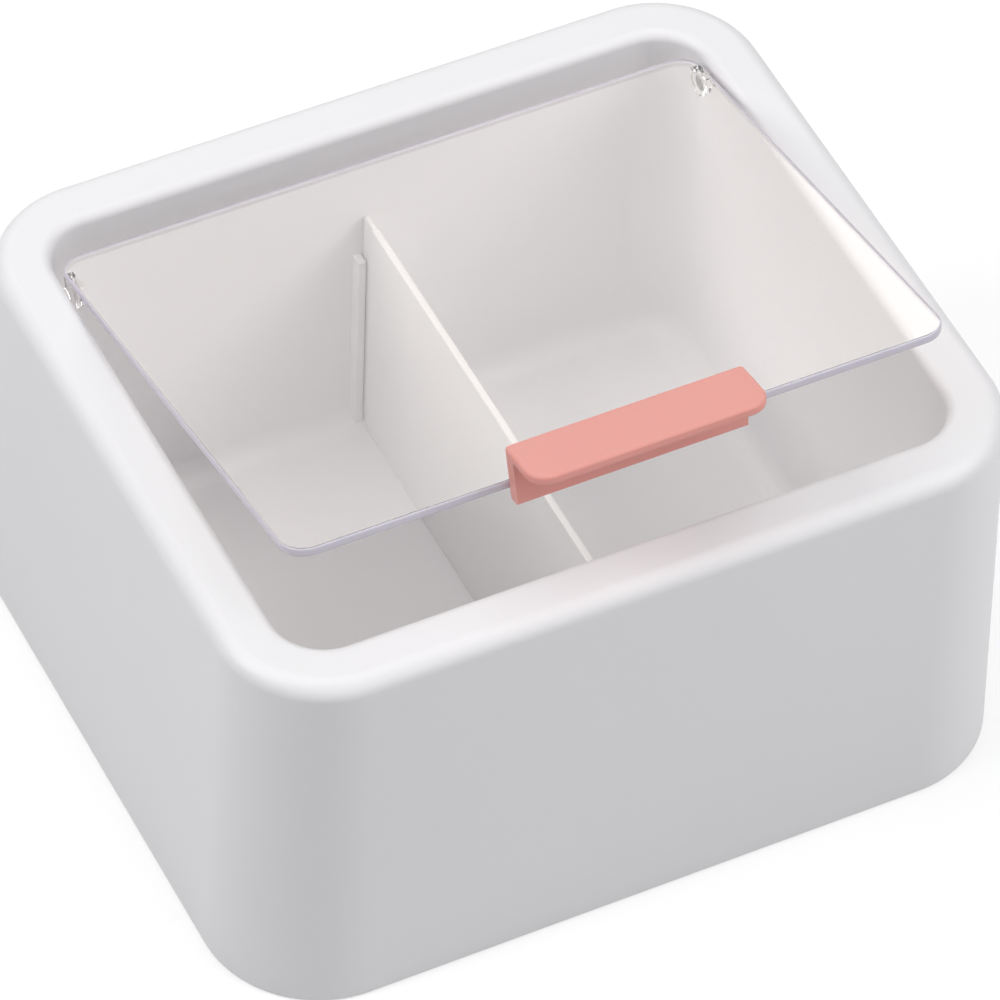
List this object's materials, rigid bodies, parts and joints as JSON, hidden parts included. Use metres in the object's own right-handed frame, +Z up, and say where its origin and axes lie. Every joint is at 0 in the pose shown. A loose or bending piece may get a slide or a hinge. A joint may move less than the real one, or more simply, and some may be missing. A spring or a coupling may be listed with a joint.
{
  "type": "hinged storage container",
  "caption": "Low rounded storage container with side-by-side compartments, a clear lid that turns on side pins at the back and a pull tab on the lid's front edge.",
  "frame": {"origin": "middle of the tub's footprint, on the table plane", "axes": "+Z up, +X along the hinge line to the right as seen from the front, -Y towards the side with the pull tab"},
  "size_m": [0.154, 0.134, 0.1112],
  "materials": {
    "tub": "smooth satin white moulded plastic",
    "divider": "thin milky plastic sheet",
    "lid": "clear polished plastic",
    "pull_tab": "satin salmon pink plastic"
  },
  "bodies": {
    "container": {"tub": "tub", "divider": "divider"},
    "lid": {"lid": "lid", "pull_tab": "pull_tab"}
  },
  "joints": [
    {"name": "lid_hinge", "type": "hinge", "parent": "container", "child": "lid", "pos_m": [0, 0.042, 0.078], "axis": [-1, 0, 0], "range_deg": [-12.25, 118]}
  ]
}
